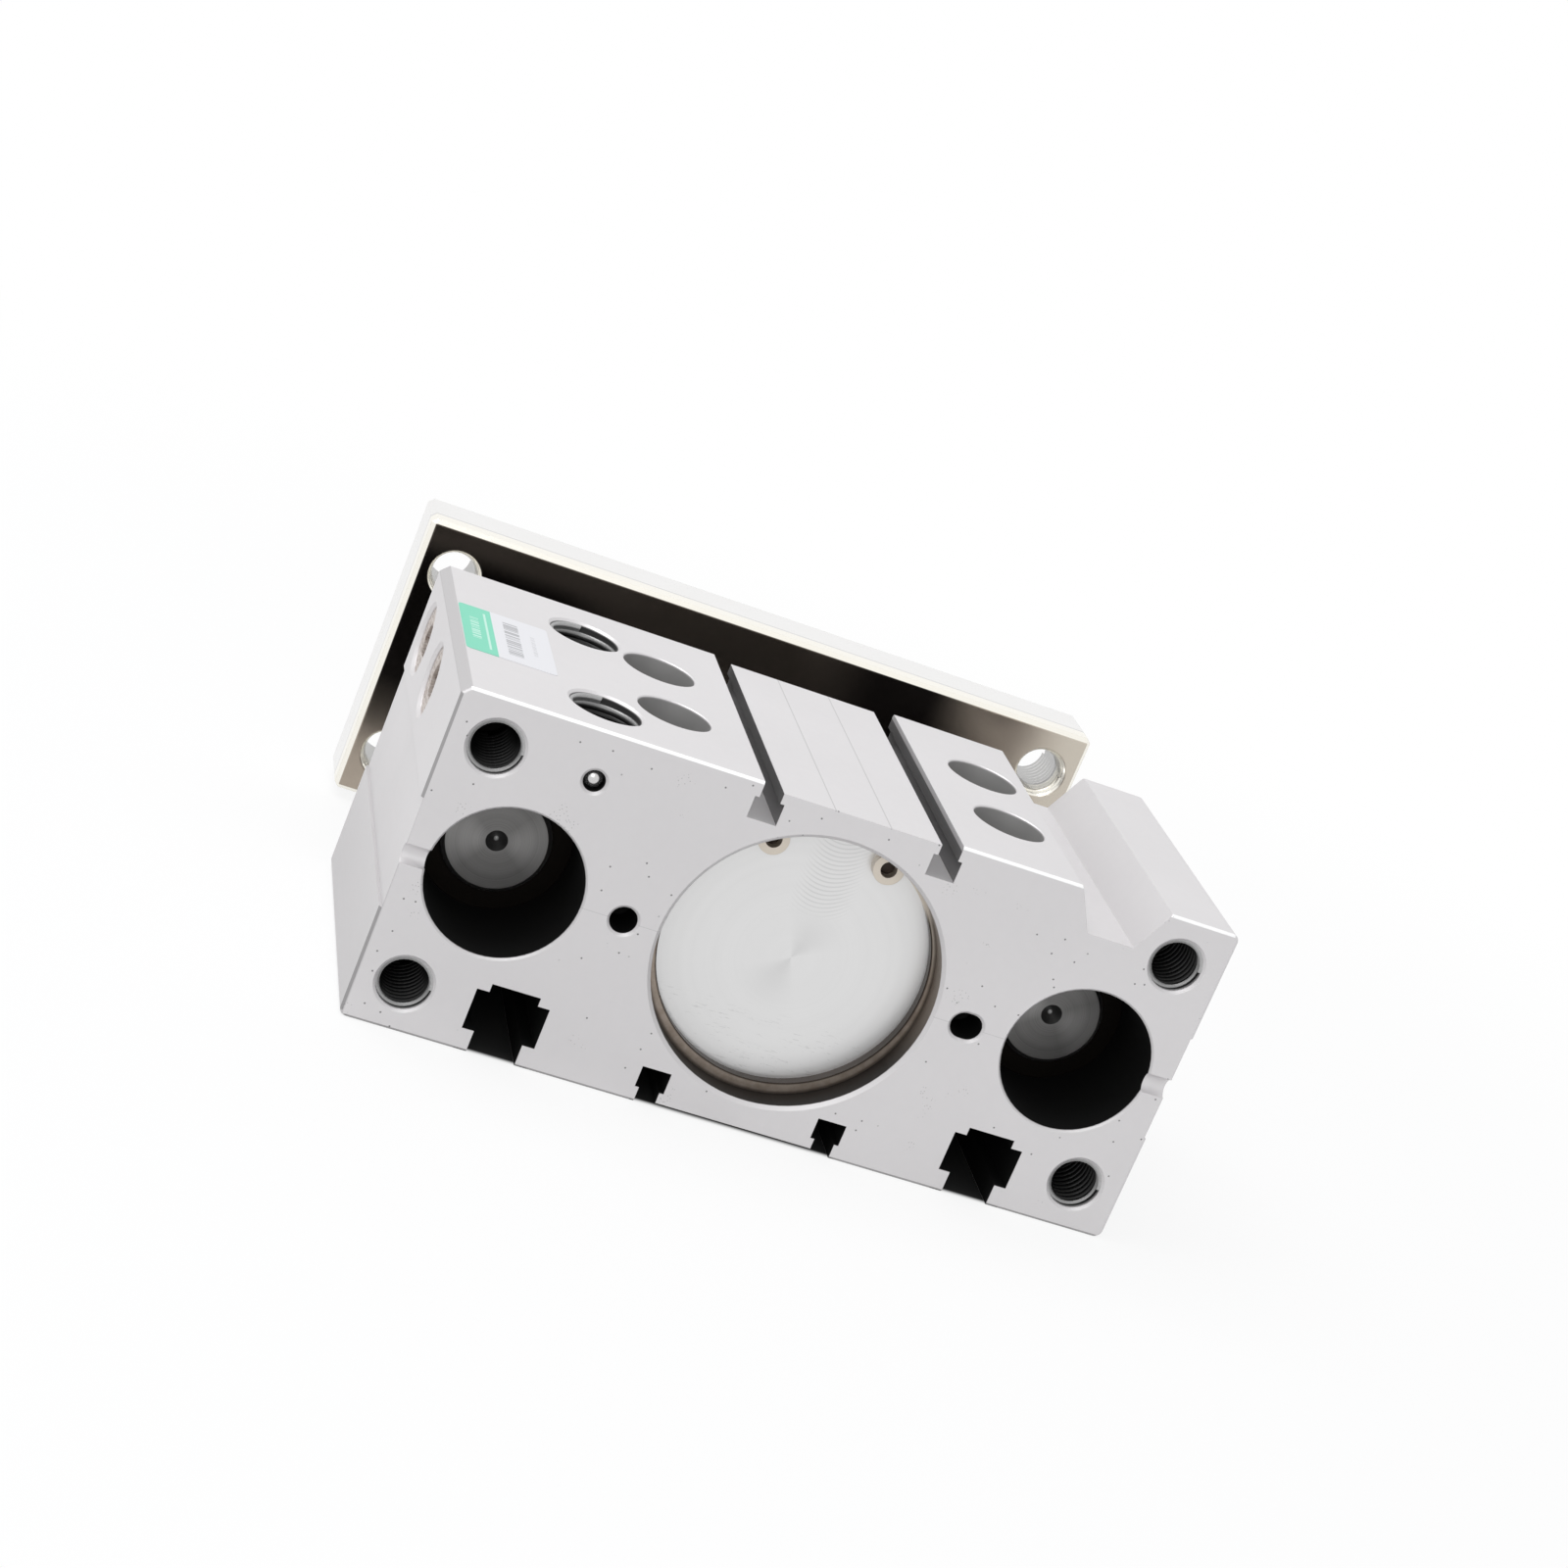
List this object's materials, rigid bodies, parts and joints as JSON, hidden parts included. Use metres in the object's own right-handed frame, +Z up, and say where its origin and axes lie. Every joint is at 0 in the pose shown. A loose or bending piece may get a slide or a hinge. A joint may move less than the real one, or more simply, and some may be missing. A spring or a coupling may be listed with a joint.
{
  "type": "compact guided pneumatic cylinder",
  "caption": "Compact guided air cylinder: machined aluminium body, piston rod and twin guide rods carrying a steel end plate.",
  "frame": {"origin": "on the piston bore's axis in the plane of the body's rear face, at the centre of the four rear mounting threads", "axes": "+X across the body to the side with the dovetail channel, +Y along the stroke from the rear face to the end plate, +Z up to the face with the air ports"},
  "size_m": [0.148, 0.122, 0.064],
  "materials": {
    "anodised_aluminium": "satin, clear anodised",
    "turned_aluminium": "bright turned",
    "spring_steel": "phosphated spring steel",
    "bright_steel": "ground steel",
    "nickel_plated_steel": "glossy nickel plating",
    "port_plug_steel": "blackened steel",
    "bearing_bronze": "oil-filled bearing bronze",
    "black_rubber": "matt",
    "wear_ring_plastic": "filled plastic",
    "magnet_plastic": "bonded magnet"
  },
  "bodies": {
    "cylinder_body": {"body_block": "anodised_aluminium", "rear_cap": "turned_aluminium", "rear_cap_oring": "black_rubber", "rear_retaining_ring": "spring_steel", "rear_bumper": "black_rubber", "rod_cover": "turned_aluminium", "rod_cover_oring": "black_rubber", "rod_bush": "bearing_bronze", "rod_seal": "black_rubber", "front_retaining_ring": "spring_steel", "front_bumper": "black_rubber", "guide_bush_rear_left": "bearing_bronze", "guide_bush_front_left": "bearing_bronze", "guide_bush_rear_right": "bearing_bronze", "guide_bush_front_right": "bearing_bronze", "guide_wiper_left": "black_rubber", "guide_wiper_right": "black_rubber", "guide_retaining_ring_left": "spring_steel", "guide_retaining_ring_right": "spring_steel", "side_plug_rear": "port_plug_steel", "side_plug_front": "port_plug_steel", "ball_plug": "bright_steel"},
    "carriage": {"end_plate": "nickel_plated_steel", "guide_rod_left": "bright_steel", "guide_rod_right": "bright_steel", "piston_rod": "bright_steel", "piston": "turned_aluminium", "wear_ring": "wear_ring_plastic", "magnet_ring": "magnet_plastic", "piston_seal": "black_rubber", "piston_screw": "port_plug_steel", "guide_rod_screw_left": "port_plug_steel", "guide_rod_screw_right": "port_plug_steel", "piston_rod_screw": "port_plug_steel"}
  },
  "joints": [
    {"name": "stroke", "type": "slide", "parent": "cylinder_body", "child": "carriage", "axis": [0, 1, 0], "range_m": [-0.025, 0]}
  ]
}
